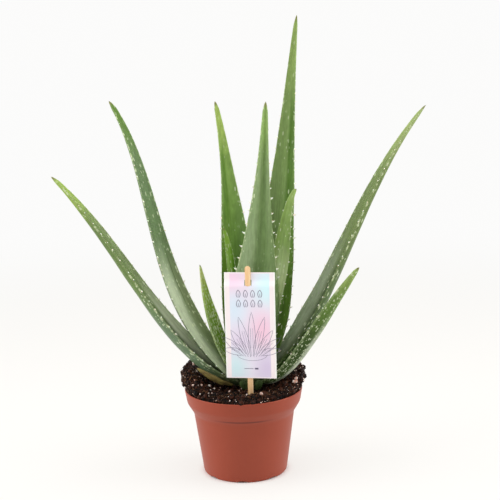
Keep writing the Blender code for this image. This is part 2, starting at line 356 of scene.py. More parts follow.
LEAVES = {
    "leaf_far_left": Leaf(
        ((-0.020, -0.004, 0.097), (-0.088, -0.004, 0.139),
         (-0.121, -0.002, 0.242), (-0.185, 0.006, 0.307)),
        (0.028, 0.029, 0.022, 0.015, 0.005), 168, "far_left", 0.0021, 1),
    "leaf_left": Leaf(
        ((-0.010, 0.001, 0.098), (-0.098, 0.006, 0.184),
         (-0.078, 0.024, 0.294), (-0.129, 0.048, 0.377)),
        (0.024, 0.026, 0.020, 0.013, 0.005), 140, "left", 0.0022, 2, hollow=0.35),
    "leaf_small_left": Leaf(
        ((-0.007, -0.003, 0.099), (-0.029, 0.003, 0.134),
         (-0.037, 0.008, 0.176), (-0.041, 0.012, 0.213)),
        (0.012, 0.018, 0.017, 0.010, 0.002), 145, "small_left", 0.0012, 3, hollow=0.5),
    "leaf_back_left": Leaf(
        ((-0.006, 0.012, 0.099), (-0.006, 0.022, 0.189),
         (-0.006, 0.040, 0.287), (-0.022, 0.062, 0.373)),
        (0.022, 0.035, 0.028, 0.013, 0.004), 110, "back_left", 0.0020, 4),
    "leaf_inner_left": Leaf(
        ((0.003, 0.004, 0.100), (-0.015, 0.007, 0.149),
         (-0.004, 0.008, 0.207), (-0.016, 0.010, 0.250)),
        (0.010, 0.014, 0.010, 0.009, 0.003), 115, "inner_left", 0.0012, 5, hollow=0.6),
    "leaf_centre": Leaf(
        ((0.009, -0.014, 0.098), (0.015, -0.019, 0.191),
         (0.024, -0.016, 0.277), (0.029, -0.010, 0.377)),
        (0.032, 0.052, 0.031, 0.014, 0.004), -85, "centre", 0.0028, 6),
    "leaf_tall": Leaf(
        ((0.016, 0.013, 0.099), (0.040, 0.024, 0.166),
         (0.049, 0.034, 0.340), (0.063, 0.048, 0.458)),
        (0.024, 0.044, 0.030, 0.014, 0.003), 75, "tall", 0.0023, 7),
    "leaf_inner_right": Leaf(
        ((0.012, 0.000, 0.100), (0.042, 0.005, 0.169),
         (0.042, 0.007, 0.272), (0.058, 0.009, 0.288)),
        (0.012, 0.015, 0.018, 0.010, 0.003), 45, "inner_right", 0.0020, 8, hollow=0.5, twist=35),
    "leaf_right": Leaf(
        ((0.024, 0.001, 0.097), (0.096, 0.003, 0.156),
         (0.110, 0.011, 0.270), (0.189, 0.024, 0.367)),
        (0.021, 0.030, 0.024, 0.015, 0.004), 20, "right", 0.0021, 9),
    "leaf_small_right": Leaf(
        ((0.024, -0.017, 0.097), (0.051, -0.020, 0.096),
         (0.085, -0.024, 0.171), (0.116, -0.034, 0.216)),
        (0.015, 0.021, 0.022, 0.017, 0.005), -30, "small_right", 0.0017, 10),
}
print("leaves:", len(LEAVES))

# %% [markdown]
# A leaf needs a place on its midline, a width there and a section. The section's
# outer side swells outwards. Its inner side lies deeper in the middle than at
# the margins, which makes the channel.

# %% Midline, width and section of a leaf
LEAF_RINGS = 150
ROOT_RINGS = 8
OUTER_STEPS = 26
INNER_STEPS = 22
LEAF_THICKNESS = (0.27, 0.25)  # against the width: at the foot, and added by the tip
CHANNEL_DEPTH = 0.22  # against the width
CROWN = Vector((0.006, 0.0, 0.088))  # where all leaf feet meet, in the soil


def bezier(points, part):
    """A point on a cubic Bezier curve."""
    rest = 1 - part
    weights = (rest**3, 3 * part * rest**2, 3 * part**2 * rest, part**3)
    return sum((Vector(point) * weight for point, weight in zip(points, weights)), Vector())


def between(values, part):
    """A smooth value between evenly spaced stations (Catmull-Rom)."""
    last = len(values) - 1
    place = min(max(part, 0.0), 1.0) * last
    i = min(int(place), last - 1)
    f = place - i
    b, c = values[i], values[i + 1]
    a = values[i - 1] if i > 0 else 2 * b - c
    d = values[i + 2] if i + 2 <= last else 2 * c - b
    return 0.5 * (
        2 * b + (c - a) * f + (2 * a - 5 * b + 4 * c - d) * f**2 + (3 * b - a - 3 * c + d) * f**3
    )


def leaf_axes(before, after, facing):
    """Tangent, across and outward directions at one place on a midline."""
    tangent = (after - before).normalized()
    ahead = Vector((math.cos(facing), math.sin(facing), 0))
    outward = ahead * tangent.z - Vector((0, 0, math.hypot(tangent.x, tangent.y)))
    outward = (outward - tangent * outward.dot(tangent)).normalized()
    return tangent, tangent.cross(outward), outward


def section(width, part, hollow):
    """The crescent: (across -1..1, side -1..1, sideways, outward) for each of its points."""
    thickness = width * (LEAF_THICKNESS[0] + LEAF_THICKNESS[1] * part**2)
    channel = width * CHANNEL_DEPTH * (1 - 0.75 * part) * hollow
    points = []
    for k in range(OUTER_STEPS + INNER_STEPS):
        outer = k <= OUTER_STEPS
        turn = k / OUTER_STEPS if outer else 1 - (k - OUTER_STEPS) / INNER_STEPS
        u = -math.cos(math.pi * turn)
        swell = max(1 - u * u, 0.0)
        low = -thickness / 2 - channel * u * u
        if outer:
            points.append((u, swell, u * width / 2, low + thickness * swell**0.65))
        else:
            points.append((u, -swell, u * width / 2, low))
    return points


# %% [markdown]
# The loft below adds what a ruler-made leaf lacks: the width wavers a little,
# the flesh has soft dents, and fine ridges run lengthwise. Below its foot each
# leaf narrows into the crown, as its sheath does on the real plant.

# %% Loft one leaf
DENT_SIZE = 0.012
RIDGES = 0.00010
TEETH_FROM, TEETH_TO = 0.03, 0.95  # along the leaf


def wander(place, size, seed):
    """Smooth noise between -1 and 1 that changes over a given size."""
    return noise.noise(place / size + Vector((seed * 7.3, seed * 3.1, seed * 5.7)))


def leaf_stations(leaf, rings):
    """Centre, axes, width, part and distance along for every ring."""
    facing = math.radians(leaf.facing)
    twist = math.radians(leaf.twist)
    step = 1 / rings
    foot = bezier(leaf.midline, 0)
    axes = leaf_axes(foot, bezier(leaf.midline, step), facing)
    stations = []
    for k in range(ROOT_RINGS, 0, -1):
        share = k / ROOT_RINGS
        centre = foot.lerp(CROWN, leaf.root * share) - axes[0] * 0.004 * share
        width = leaf.widths[0] * (1 - 0.35 * share)
        stations.append((centre, axes, width, 0.0, -(centre - foot).length))
    reach = 0.0
    last = foot
    for k in range(rings):
        part = k * step
        centre = bezier(leaf.midline, part)
        ahead = bezier(leaf.midline, part + step)
        behind = bezier(leaf.midline, max(part - step, 0))
        reach += (centre - last).length
        last = centre
        width = between(leaf.widths, part) * (1 + 0.03 * wander(centre, 0.03, leaf.seed))
        width *= min(1.0, ((1 - part) / 0.03)) ** 0.5
        axes = leaf_axes(behind, ahead, facing + twist * min(1, 2 * part))
        stations.append((centre, axes, width, part, reach))
    return stations, reach


def keep_mesh(bm, name):
    mesh = bpy.data.meshes.new(name)
    bm.to_mesh(mesh)
    bm.free()
    return mesh


def unroll(points):
    """Distance round the section from its middle; both sides end at the same distance."""
    spots = [Vector(point[2:]) for point in points]
    outer = [0.0]
    for before, after in zip(spots, spots[1 : OUTER_STEPS + 1]):
        outer.append(outer[-1] + (after - before).length)
    inner = [0.0]
    back = [spots[0]] + spots[:OUTER_STEPS:-1] + [spots[OUTER_STEPS]]
    for before, after in zip(back, back[1:]):
        inner.append(inner[-1] + (after - before).length)
    share = outer[-1] / max(inner[-1], 1e-9)
    half = outer[-1] / 2
    return [way - half for way in outer] + [way * share - half for way in inner[-2:0:-1]]


def leaf_mesh(name, leaf, rings=LEAF_RINGS, dents=0.00035):
    """A closed leaf with the attributes that its finish and its teeth read."""
    stations, length = leaf_stations(leaf, rings)
    bm = bmesh.new()
    numbers = {key: [] for key in ("across", "along", "side", "rim", "tooth_size")}
    vectors = {key: [] for key in ("straight", "unrolled", "tooth_out", "grow")}
    margin = []
    levels = []

    def remember(is_margin, **values):
        for key, value in values.items():
            (numbers if key in numbers else vectors)[key].append(value)
        margin.append(is_margin)

    for centre, (tangent, sideways, outward), width, part, reach in stations:
        ring = []
        points = section(width, part, leaf.hollow)
        girth = unroll(points)
        for (u, side, a, b), around in zip(points, girth):
            straight = Vector((a, reach, b))
            soft = wander(Vector((a * 2.2, reach * 0.45, b)), DENT_SIZE, leaf.seed)
            ridge = wander(Vector((a * 9, reach * 0.6, b)), DENT_SIZE, leaf.seed + 20)
            calm = 1 - abs(u) ** 6
            lift = dents * soft * calm + RIDGES * ridge * calm
            b += lift if side >= 0 else -lift
            ring.append(bm.verts.new(centre + sideways * a + outward * b))
            remember(
                abs(u) > 0.9999 and TEETH_FROM < part < TEETH_TO,
                across=u, along=part, side=side, rim=(1 - abs(u)) * width / 2,
                tooth_size=min(1.0, width / 0.02) * min(1.0, part * 12 + 0.2),
                straight=straight, unrolled=Vector((around, reach, 0)),
                tooth_out=sideways * math.copysign(1, a) - outward * 0.25, grow=tangent,
            )
        levels.append(ring)
    tip = bm.verts.new(bezier(leaf.midline, 1))
    end, up = Vector((0, length, 0)), Vector((0, 0, 1))
    remember(
        False, across=0, along=1, side=0, rim=0, tooth_size=0,
        straight=end, unrolled=end, tooth_out=up, grow=up,
    )
    count = len(levels[0])
    for low, high in zip(levels, levels[1:]):
        for i in range(count):
            j = (i + 1) % count
            bm.faces.new((low[i], low[j], high[j], high[i]))
    for i in range(count):
        bm.faces.new((levels[-1][i], levels[-1][(i + 1) % count], tip))
    bm.faces.new(levels[0][::-1])
    bmesh.ops.recalc_face_normals(bm, faces=bm.faces)
    mesh = keep_mesh(bm, name)
    mesh.shade_smooth()
    for key, values in numbers.items():
        mesh.attributes.new(key, "FLOAT", "POINT").data.foreach_set("value", values)
    for key, values in vectors.items():
        flat = [part for value in values for part in value]
        mesh.attributes.new(key, "FLOAT_VECTOR", "POINT").data.foreach_set("vector", flat)
    mesh.attributes.new("margin", "BOOLEAN", "POINT").data.foreach_set("value", margin)
    return mesh


# %% [markdown]
# ## The leaf finish
#
# Under the skin a leaf is deep green, and a blue grey wax covers it, thickest
# on the outer side of the old leaves. The channel keeps less wax, and its colours
# hold painted light and shade, set leaf by leaf: shaded parts are mostly painted
# darker and the wall that faces the light is painted pale. Towards the tip the
# green is fresh. Long white spots are scattered over young leaves and stand in
# rows by the margins of the old ones. The foot is painted dark as shade among the
# crowded leaf feet, and the tip has dried to brown. One function makes all kinds
# of leaf, so that they stay one family.

# %% The leaves' colours
class Skin(NamedTuple):
    outer: tuple  # colour of the outer side
    # channel, near wall and far wall colours hold painted light and shade: shaded parts painted
    # darker, a wall that faces the light painted pale
    channel: tuple  # bottom of the channel, low on the leaf
    near_wall_light_and_shade: tuple  # channel wall at the front
    far_wall_light_and_shade: tuple  # channel wall at the back
    upper: tuple  # upper part
    fresh: tuple  # just below the tip
    near: int = 1  # which margin is at the front: 1 or -1
    wax: float = 0.2
    spots: float = 0.15  # all over
    rows: float = 0.0  # in rows by the margins
    wall_span: tuple = (-0.05, 0.55)  # where the near wall starts and is full
    far_span: tuple = (-0.10, -0.65)
    wall_reach: tuple = (0.74, 0.42)  # where along the leaf it is gone and still full
    wax_span: tuple = (0.5, -0.6)
    upper_span: tuple = (0.45, 0.75)
    # stripe: a darker band of painted shade where the channel lies in shade
    stripe: tuple = (0.0, 0.2, 0.3, 0.8, 0.0)  # across, half width, start, end, strength
    fine: float = 1.0  # above 1 for smaller spots
    stripe_shade_colour: tuple = (0.055, 0.13, 0.008)


SKINS = {
    "far_left": Skin(
        (0.130, 0.200, 0.105), (0.080, 0.130, 0.030), (0.050, 0.090, 0.015), (0.60, 0.66, 0.46),
        (0.125, 0.195, 0.045), (0.28, 0.40, 0.07),
        wax=0.25, rows=0.30, far_span=(0.0, -0.5), upper_span=(0.28, 0.56)),
    "left": Skin(
        (0.30, 0.38, 0.23), (0.25, 0.32, 0.17), (0.56, 0.64, 0.44), (0.21, 0.26, 0.13),
        (0.100, 0.178, 0.060), (0.110, 0.205, 0.030),
        wax=0.4, spots=0.22, rows=0.28, wall_span=(-0.45, 0.25), wall_reach=(0.62, 0.32),
        upper_span=(0.30, 0.54), stripe=(-0.38, 0.07, 0.22, 0.50, 0.6),
        stripe_shade_colour=(0.045, 0.075, 0.02)),
    "small_left": Skin(
        (0.28, 0.42, 0.10), (0.20, 0.36, 0.045), (0.24, 0.37, 0.09), (0.22, 0.36, 0.05),
        (0.36, 0.50, 0.09), (0.60, 0.66, 0.22), spots=1.3),
    "back_left": Skin(
        (0.18, 0.30, 0.08), (0.155, 0.285, 0.055), (0.145, 0.27, 0.03), (0.16, 0.28, 0.07),
        (0.20, 0.32, 0.075), (0.32, 0.44, 0.10),
        rows=0.16, stripe=(0.48, 0.42, 0.50, 0.88, 0.75), stripe_shade_colour=(0.075, 0.175, 0.006)),
    "inner_left": Skin(
        (0.30, 0.48, 0.11), (0.24, 0.45, 0.065), (0.34, 0.56, 0.13), (0.10, 0.24, 0.015),
        (0.26, 0.44, 0.07), (0.22, 0.39, 0.05),
        wax=0.1, spots=0.4, wall_reach=(1.2, 1.0), upper_span=(0.86, 1.0)),
    "centre": Skin(
        (0.155, 0.235, 0.085), (0.15, 0.26, 0.06), (0.15, 0.26, 0.06), (0.18, 0.28, 0.08),
        (0.185, 0.265, 0.105), (0.20, 0.32, 0.08),
        wax=0.16, spots=0.07, rows=0.12, stripe=(0.12, 0.55, 0.22, 0.92, 0.55),
        stripe_shade_colour=(0.085, 0.155, 0.035)),
    "tall": Skin(
        (0.17, 0.28, 0.08), (0.165, 0.255, 0.08), (0.17, 0.25, 0.09), (0.15, 0.28, 0.045),
        (0.185, 0.275, 0.085), (0.24, 0.34, 0.095),
        rows=0.16, stripe=(-0.60, 0.50, 0.40, 0.84, 0.85)),
    "inner_right": Skin(
        (0.26, 0.38, 0.13), (0.58, 0.72, 0.37), (0.50, 0.60, 0.30), (0.42, 0.54, 0.22),
        (0.185, 0.305, 0.060), (0.28, 0.40, 0.115),
        near=-1, spots=0.25, rows=0.2, upper_span=(0.42, 0.62)),
    "right": Skin(
        (0.085, 0.140, 0.042), (0.125, 0.165, 0.070), (0.075, 0.125, 0.025), (0.34, 0.40, 0.27),
        (0.135, 0.195, 0.048), (0.28, 0.36, 0.120),
        near=-1, wax=0.70, rows=0.22, wall_span=(-0.1, 0.3), wall_reach=(0.62, 0.44),
        far_span=(0.10, -0.55), wax_span=(0.2, -0.9),
        upper_span=(0.38, 0.62), stripe=(0.28, 0.30, 0.10, 0.48, 0.5),
        stripe_shade_colour=(0.030, 0.060, 0.008)),
    "small_right": Skin(
        (0.040, 0.078, 0.014), (0.13, 0.22, 0.05), (0.16, 0.27, 0.08), (0.16, 0.27, 0.08),
        (0.135, 0.235, 0.045), (0.25, 0.36, 0.09),
        near=-1, wax=0.85, spots=0.6, wax_span=(0.62, 0.26), upper_span=(0.46, 0.78), fine=1.6),
}
WAX = (0.50, 0.55, 0.42)
SPOT = (0.66, 0.74, 0.48)
MARGIN = (0.52, 0.58, 0.34)
# painted shade: the foot is darkened where the leaf feet crowd under the card
FOOT_SHADE = (0.07, 0.09, 0.025)
TIP = (0.19, 0.19, 0.06)
print("kinds of leaf skin:", len(SKINS))

# %% [markdown]
# The spots are cells of a Voronoi pattern, stretched along the leaf, of which
# only some are kept: few in the open skin and more by the margins. Two sizes of
# cell make them irregular. Some leaves also get a darker stripe of painted
# channel shade along part of their length.

# %% Spots and stripe
SPOT_CELLS = (((330, 150, 1), 1.0), ((560, 280, 1), 0.7))  # cells per metre, share of them


def leaf_spots(skin, look, unrolled, along, across):
    """Long pale spots: a few all over the leaf, and rows of them by the margins."""
    near_margin = skin.fade(abs(across), 0.70, 0.92) * skin.fade(along, 0.96, 0.80)
    spots = 0.0
    for seed, (scale, share) in enumerate(SPOT_CELLS):
        cells = {"Vector": skin.stretch(unrolled, scale), "Scale": look.fine, "Randomness": 0.9}
        flat = {"voronoi_dimensions": "2D"}
        near = skin.node("ShaderNodeTexVoronoi", flat, cells, "Distance")
        lot = skin.node("ShaderNodeTexVoronoi", flat, cells, "Color")
        pick = skin.split(lot, seed, "Color")
        size = skin.split(lot, 2, "Color") * 0.16
        crowd = look.spots * share * (0.8 - along * 0.5) + near_margin * (look.rows * share)
        spot = skin.fade(near - size, 0.30, 0.14) * skin.fade(pick - 1 + crowd, 0.0, 0.08)
        spots = skin.maths("MAXIMUM", spots, spot)
    return spots


def leaf_shade_stripe(skin, look, shifted, along):
    """A darker stripe along part of the leaf: painted shade of the channel."""
    middle, half, start, end, strength = look.stripe
    inside = skin.fade(abs(shifted - middle), half, half * 0.35)
    length = skin.fade(along, start, start + 0.1) * skin.fade(along, end, end - 0.12)
    return inside * length * strength


# %% [markdown]
# The finish then goes from the inside out: the green of the channel and its
# walls with their painted light and shade, wax over it, the fresh upper part,
# the stripe of painted channel shade, the spots, beads along the margin, and last
# the foot painted dark as shade and the dry tip. Noise moves the borders of the
# broad colours a little, so that they don't run straight.

# %% Leaf finish
BROAD = (60, 9, 60)  # noise waves per metre: across, along and through the leaf
LINES = (900, 16, 900)
MOTTLE = (260, 110, 260)
BEADS = (20, 170, 1)
BRIGHTNESS = 1.08


def leaf_finish(name, look):
    skin = Finish(f"leaf skin {name}", Subsurface_Weight=0.05, Specular_IOR_Level=0.16)
    skin.set(Subsurface_Scale=0.003, Subsurface_Radius=(0.4, 1.0, 0.2))
    place = skin.attribute("straight", "Vector")
    unrolled = skin.attribute("unrolled", "Vector")
    across = skin.attribute("across") * look.near
    along = skin.attribute("along")
    outside = skin.fade(skin.attribute("side"), -0.15, 0.15)
    rim = skin.attribute("rim")

    broad = skin.noise(skin.stretch(place, BROAD), 1.0)
    lines = skin.noise(skin.stretch(place, LINES), 1.0, 2.0)
    mottle = skin.noise(skin.stretch(place, MOTTLE), 1.0, 4.0, 0.62)
    grain = skin.noise(place, 1600.0, 2.0)
    shifted = across + (broad - 0.5) * 0.35
    risen = along + (mottle - 0.5) * 0.12

    # painted light and shade: the channel's bottom and its two walls get the colours that stand for
    # where light falls and shade lies
    far = skin.mix(skin.fade(shifted, *look.far_span), look.channel, look.far_wall_light_and_shade)
    low = skin.fade(shifted, *look.wall_span) * skin.fade(risen, *look.wall_reach)
    inner = skin.mix(low, far, look.near_wall_light_and_shade)
    waxed = skin.fade(shifted, *look.wax_span) * look.wax * (0.35 + mottle * 1.1)
    upper = skin.fade(risen, *look.upper_span)
    outer = skin.mix(waxed * (1 - upper * 0.6), look.outer, WAX)
    colour = skin.mix(upper * 0.85, skin.mix(outside, inner, outer), look.upper)
    colour = skin.mix(skin.fade(risen, 0.74, 0.93), colour, look.fresh)
    # painted shade: a darker stripe where the channel lies in shade
    colour = skin.mix(leaf_shade_stripe(skin, look, shifted, along), colour, look.stripe_shade_colour)
    shade = 0.62 + mottle * 0.55 + (lines - 0.5) * 0.5 + (broad - 0.5) * 0.3
    colour = skin.scaled(colour, shade * BRIGHTNESS)

    spots = leaf_spots(skin, look, unrolled, along, across)
    colour = skin.mix(spots * (0.5 + 0.3 * min(look.spots + look.rows, 1)), colour, SPOT)
    beads = skin.noise(skin.stretch(unrolled, BEADS), 1.0, 1.0)
    edge = skin.fade(rim, 0.0010, 0.0002) * (0.15 + 0.7 * skin.fade(beads, 0.52, 0.66))
    colour = skin.mix(edge, colour, MARGIN)
    # painted shade: the foot goes dark among the crowded leaf feet
    colour = skin.mix(skin.fade(along, 0.05, 0.0) * 0.6, colour, FOOT_SHADE)
    dry = skin.fade(along + (broad - 0.5) * 0.02, 0.975, 0.994)
    colour = skin.mix(dry, colour, TIP)

    skin.set(Base_Color=colour, Roughness=0.40 + waxed * 0.2 + (grain - 0.5) * 0.12)
    skin.bump(lines * 0.35 + grain * 0.25 + mottle * 0.5 + spots * 0.8, 0.00020, 0.7)
    return skin.material


LEAF_FINISHES = {name: leaf_finish(name, look) for name, look in SKINS.items()}
print("leaf finishes:", ", ".join(LEAF_FINISHES))

# %% [markdown]
# ## Teeth
#
# Small cream teeth stand along both margins and point a little to the tip. They
# repeat along a path, so Geometry Nodes plant them: the margin edges become
# curves, the curves are cut to an even spacing, and each point gets a bent cone.

# %% Tooth growth
def tooth_finish():
    horn = Finish("tooth horn", Roughness=0.35, Subsurface_Weight=0.15, Subsurface_Scale=0.001)
    shade = horn.noise(horn.object_place(), 300.0)
    return horn.set(Base_Color=horn.mix(shade, (0.84, 0.86, 0.64), (0.96, 0.96, 0.86))).material


TOOTH_FINISH = tooth_finish()
CONE = {"Vertices": 8, "Side Segments": 3, "Radius Top": 0.03, "Radius Bottom": 0.52, "Depth": 1.15}


def bent_cone(tree):
    """A flattened cone that bends towards +X, about 1 wide at its foot."""
    cone = tree.node("GeometryNodeMeshCone", None, CONE)
    height = tree.split(tree.node("GeometryNodeInputPosition"), "Z")
    sockets = {"X": height * height * 0.35, "Z": -0.15}
    bend = tree.node("ShaderNodeCombineXYZ", None, sockets)
    cone = tree.node("GeometryNodeSetPosition", None, {0: cone, "Offset": bend})
    return tree.node("GeometryNodeTransform", None, {0: cone, "Scale": (1.0, 0.55, 1.0)})


def tooth_growth():
    inputs = {"Spacing": 0.011, "Size": 0.002, "Jitter": 0.22, "Seed": 4}
    tree = Growth("margin teeth", inputs | {"Material": TOOTH_FINISH})
    sockets = {0: tree["Geometry"], 1: tree.named("margin", "BOOLEAN")}
    margin = tree.node("GeometryNodeMeshToCurve", None, sockets)
    sockets = {"Curve": margin, "Length": tree["Spacing"]}
    points = tree.node("GeometryNodeResampleCurve", {"mode": "LENGTH"}, sockets)
    grow_way = tree.named("grow", "FLOAT_VECTOR")
    shift = tree.chance(-1.0, 1.0, tree["Seed"]) * tree["Jitter"] * tree["Spacing"]
    sockets = {0: points, "Offset": tree.scaled(grow_way, shift)}
    points = tree.node("GeometryNodeSetPosition", None, sockets)
    axes = {"primary_axis": "Z", "secondary_axis": "X"}
    sockets = {"Primary Axis": tree.named("tooth_out", "FLOAT_VECTOR"), "Secondary Axis": grow_way}
    turn = tree.node("FunctionNodeAxesToRotation", axes, sockets)
    size = tree["Size"] * tree.named("tooth_size") * tree.chance(0.7, 1.15, tree["Seed"] + 1)
    sockets = {"Points": points, "Instance": bent_cone(tree), "Rotation": turn, "Scale": size}
    return tree.finish(tree.node("GeometryNodeInstanceOnPoints", None, sockets))


TOOTH_GROWTH = tooth_growth()
print("tooth cone:", CONE["Vertices"], "sides")

# %% [markdown]
# Every leaf is lofted, gets the finish of its kind and is then planted with
# teeth.

# %% Grow all leaves
SLOTS = dict.fromkeys(("far_left", "left", "right", "centre"), "leaf_old")
SLOTS |= dict.fromkeys(("tall", "back_left", "small_right", "inner_right"), "leaf_green")
SLOTS |= dict.fromkeys(("small_left", "inner_left"), "leaf_young")
SMALL_TOOTH = 0.0015
TOOTH_SPACING = (0.0085, 0.0112)  # of small and of large teeth
for name, leaf in LEAVES.items():
    mesh = leaf_mesh(f"{name}_blade", leaf)
    mesh.materials.append(LEAF_FINISHES[leaf.finish])
    blade = add_object(f"{name}_blade", mesh)
    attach(blade, "root")
    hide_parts(name)
    teeth = grow(
        f"{name}_teeth", TOOTH_GROWTH, mesh.copy(),
        spacing=TOOTH_SPACING[leaf.teeth >= SMALL_TOOTH],
        size=leaf.teeth, seed=leaf.seed, material=TOOTH_FINISH,
    )
    teeth.data.shade_smooth()
    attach(teeth, "root")

# %% [markdown]
# ## The pot
#
# The pot is thin plastic, blown into shape. Pot, soil and stem are all round, so
# a few helpers make turned shapes: they round the corners of a profile and close
# a stack of rings into one mesh.

# %% Turned shapes
def soften(profile, radius, steps=3):
    """Round the corners of an open profile of (radius, height) points."""
    points = [Vector(point) for point in profile]
    rounded = [points[0]]
    for before, corner, after in zip(points, points[1:], points[2:]):
        reach_in = min(radius, (before - corner).length / 2)
        reach_out = min(radius, (after - corner).length / 2)
        start = corner + (before - corner).normalized() * reach_in
        end = corner + (after - corner).normalized() * reach_out
        for k in range(steps + 1):
            t = k / steps
            rounded.append(start * (1 - t) ** 2 + corner * 2 * t * (1 - t) + end * t**2)
    return rounded + [points[-1]]


def turned(name, rings):
    """Close a stack of equal rings into one mesh; its two ends get flat faces."""
    bm = bmesh.new()
    levels = [[bm.verts.new(point) for point in ring] for ring in rings]
    for low, high in zip(levels, levels[1:]):
        for i in range(len(low)):
            j = (i + 1) % len(low)
            bm.faces.new((low[i], low[j], high[j], high[i]))
    bm.faces.new(levels[0])
    bm.faces.new(levels[-1])
    bmesh.ops.recalc_face_normals(bm, faces=bm.faces)
    return keep_mesh(bm, name)


def circle(radius, height, steps, centre=Vector()):
    turn = 2 * math.pi / steps
    middle = Vector((centre.x, centre.y, height))
    return [
        middle + Vector((math.cos(turn * k), math.sin(turn * k), 0)) * radius for k in range(steps)
    ]


def settle(obj, edge_angle=None):
    """Turn an object's modifiers into a plain mesh."""
    graph = bpy.context.evaluated_depsgraph_get()
    mesh = bpy.data.meshes.new_from_object(obj.evaluated_get(graph))
    obj.modifiers.clear()
    obj.data = mesh
    mesh.name = obj.name
    if edge_angle:
        mesh.shade_smooth()
        mesh.set_sharp_from_angle(angle=math.radians(edge_angle))
    return obj


# %% [markdown]
# The pot has a tapered body, a shoulder and a rim band. Eight low arches let
# water out from under the base, and each has a drain hole; the Boolean modifier
# cuts them, as a knife would.

# %% Pot
POT_HEIGHT = 0.0875
RIM_RADIUS = 0.060
BAND_FOOT = (0.0579, 0.0750)  # radius and height where the rim band starts
BODY_TOP = (0.0518, 0.0642)
BASE_RADIUS = 0.0427
WALL = 0.0014
POT_FLOOR = 0.0032
POT_STEPS = 180
LIP = 0.0007  # rounding of the rim's edge
CORNER = 0.0011  # rounding of the other corners
ARCHES = 8
FIRST_ARCH = math.radians(-94.5)
ARCH_HALF_WIDTH, ARCH_HEIGHT = 0.0055, 0.0018
ARCH_ENDS = (0.031, 0.047)  # from the pot's middle
DRAIN_RADIUS, DRAIN_PLACE = 0.003, 0.0365


def pot_profile():
    outside = [
        (BASE_RADIUS - 0.0012, 0.0),
        (BASE_RADIUS, 0.0012),
        (BODY_TOP[0] - 0.0006, BODY_TOP[1] - 0.0017),
        BODY_TOP,
        (BAND_FOOT[0] - 0.0007, BAND_FOOT[1] - 0.0018),
        BAND_FOOT,
        (RIM_RADIUS, POT_HEIGHT - LIP),
        (RIM_RADIUS - LIP / 2, POT_HEIGHT),
    ]
    inside = [(radius - WALL, height + 0.0002) for radius, height in outside[2:7]]
    top = [(RIM_RADIUS - WALL + LIP / 2, POT_HEIGHT)]
    corner = [(BASE_RADIUS - WALL + 0.0003, POT_FLOOR + 0.0012)]
    return outside + top + inside[::-1] + corner + [(BASE_RADIUS - WALL - 0.0009, POT_FLOOR)]


def make_pot():
    rings = [circle(radius, height, POT_STEPS) for radius, height in soften(pot_profile(), CORNER)]
    pot = add_object("pot_shell", turned("pot_shell", rings))
    cutters = []
    for k in range(ARCHES):
        turn = Matrix.Rotation(FIRST_ARCH + 2 * math.pi * k / ARCHES, 4, "Z")
        outline = [
            Vector((0, ARCH_HALF_WIDTH * math.cos(a), ARCH_HEIGHT * math.sin(a)))
            for a in (math.pi * (j - 1) / 10 for j in range(13))
        ]
        arch = [[turn @ (point + Vector((x, 0, 0))) for point in outline] for x in ARCH_ENDS]
        middle = turn @ Vector((DRAIN_PLACE, 0, 0))
        hole = [circle(DRAIN_RADIUS, z, 24, middle) for z in (-0.002, 0.006)]
        cutters += [turned("arch", arch), turned("drain", hole)]
    tools = [add_object("pot_cutter", mesh) for mesh in cutters]
    for tool in tools:
        cut = pot.modifiers.new("cut", "BOOLEAN")
        cut.operation = "DIFFERENCE"
        cut.solver = "EXACT"
        cut.object = tool
    settle(pot, 32)
    for tool in tools:
        bpy.data.objects.remove(tool)
    print("pot:", len(pot.data.polygons), "faces")
    return pot


# %% [markdown]
# The plastic is satin and slightly uneven: its colour clouds a little, fine
# flow lines run up the wall, the base is scuffed and some peat dust sticks to
# the rim. A short darker line is painted on the shoulder at the front and the
# back, and under the base the mould left rings round its centre.

# %% Pot finish
SHOULDER_LINE_HEIGHT = 0.0668


def pot_finish():
    plastic = Finish("pot plastic", Specular_IOR_Level=0.30)
    place = plastic.object_place()
    side, height = plastic.split(place, "X"), plastic.split(place, "Z")
    radius = plastic.length(plastic.stretch(place, (1, 1, 0)))
    clouds = plastic.noise(place, 28.0, 4.0, 0.6)
    flow = plastic.noise(plastic.stretch(place, (420, 420, 12)), 1.0, 2.0)
    peel = plastic.noise(place, 1500.0, 2.0)
    scuff_place = plastic.stretch(place, (160, 160, 900))
    scuffs = plastic.fade(plastic.noise(scuff_place, 1.0, 5.0, 0.7), 0.64, 0.74)
    low = plastic.fade(height, 0.03, 0.0)
    dust = plastic.fade(plastic.noise(place, 900.0, 3.0), 0.66, 0.72)
    dust = dust * plastic.fade(height, 0.070, POT_HEIGHT)
    colour = plastic.mix(clouds, (0.290, 0.047, 0.019), (0.350, 0.060, 0.027))
    colour = plastic.mix(flow * 0.22, colour, (0.24, 0.040, 0.020))
    colour = plastic.mix(scuffs * (0.12 + low * 0.3), colour, (0.50, 0.20, 0.13))
    colour = plastic.mix(dust * 0.55, colour, (0.07, 0.03, 0.018))
    # a short darker line painted on the shoulder, only at the front and the back
    shoulder_line = plastic.fade(abs(height - SHOULDER_LINE_HEIGHT), 0.0014, 0.0003)
    shoulder_line = shoulder_line * plastic.fade(abs(side), 0.036, 0.010)
    colour = plastic.mix(shoulder_line * 0.7, colour, (0.09, 0.016, 0.010))
    rings = plastic.maths("SINE", radius * 2400) * plastic.fade(height, 0.0012, 0.0)
    plastic.set(Base_Color=colour, Roughness=0.40 + clouds * 0.10 + scuffs * 0.12)
    plastic.bump(flow * 0.5 + peel * 0.3 + scuffs * 0.2 + rings, 0.00008, 0.6)
    return plastic.material


pot = make_pot()
pot.data.materials.clear()
pot.data.materials.append(pot_finish())
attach(pot, "root")
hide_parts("pot")

# %% [markdown]
# ## The potting soil
#
# Peat fills the pot. At the front it stands level with the rim, and at the
# sides and the back it is heaped over it. The mesh gives the heap and its
# lumps: three sizes of noise push the surface in and out.

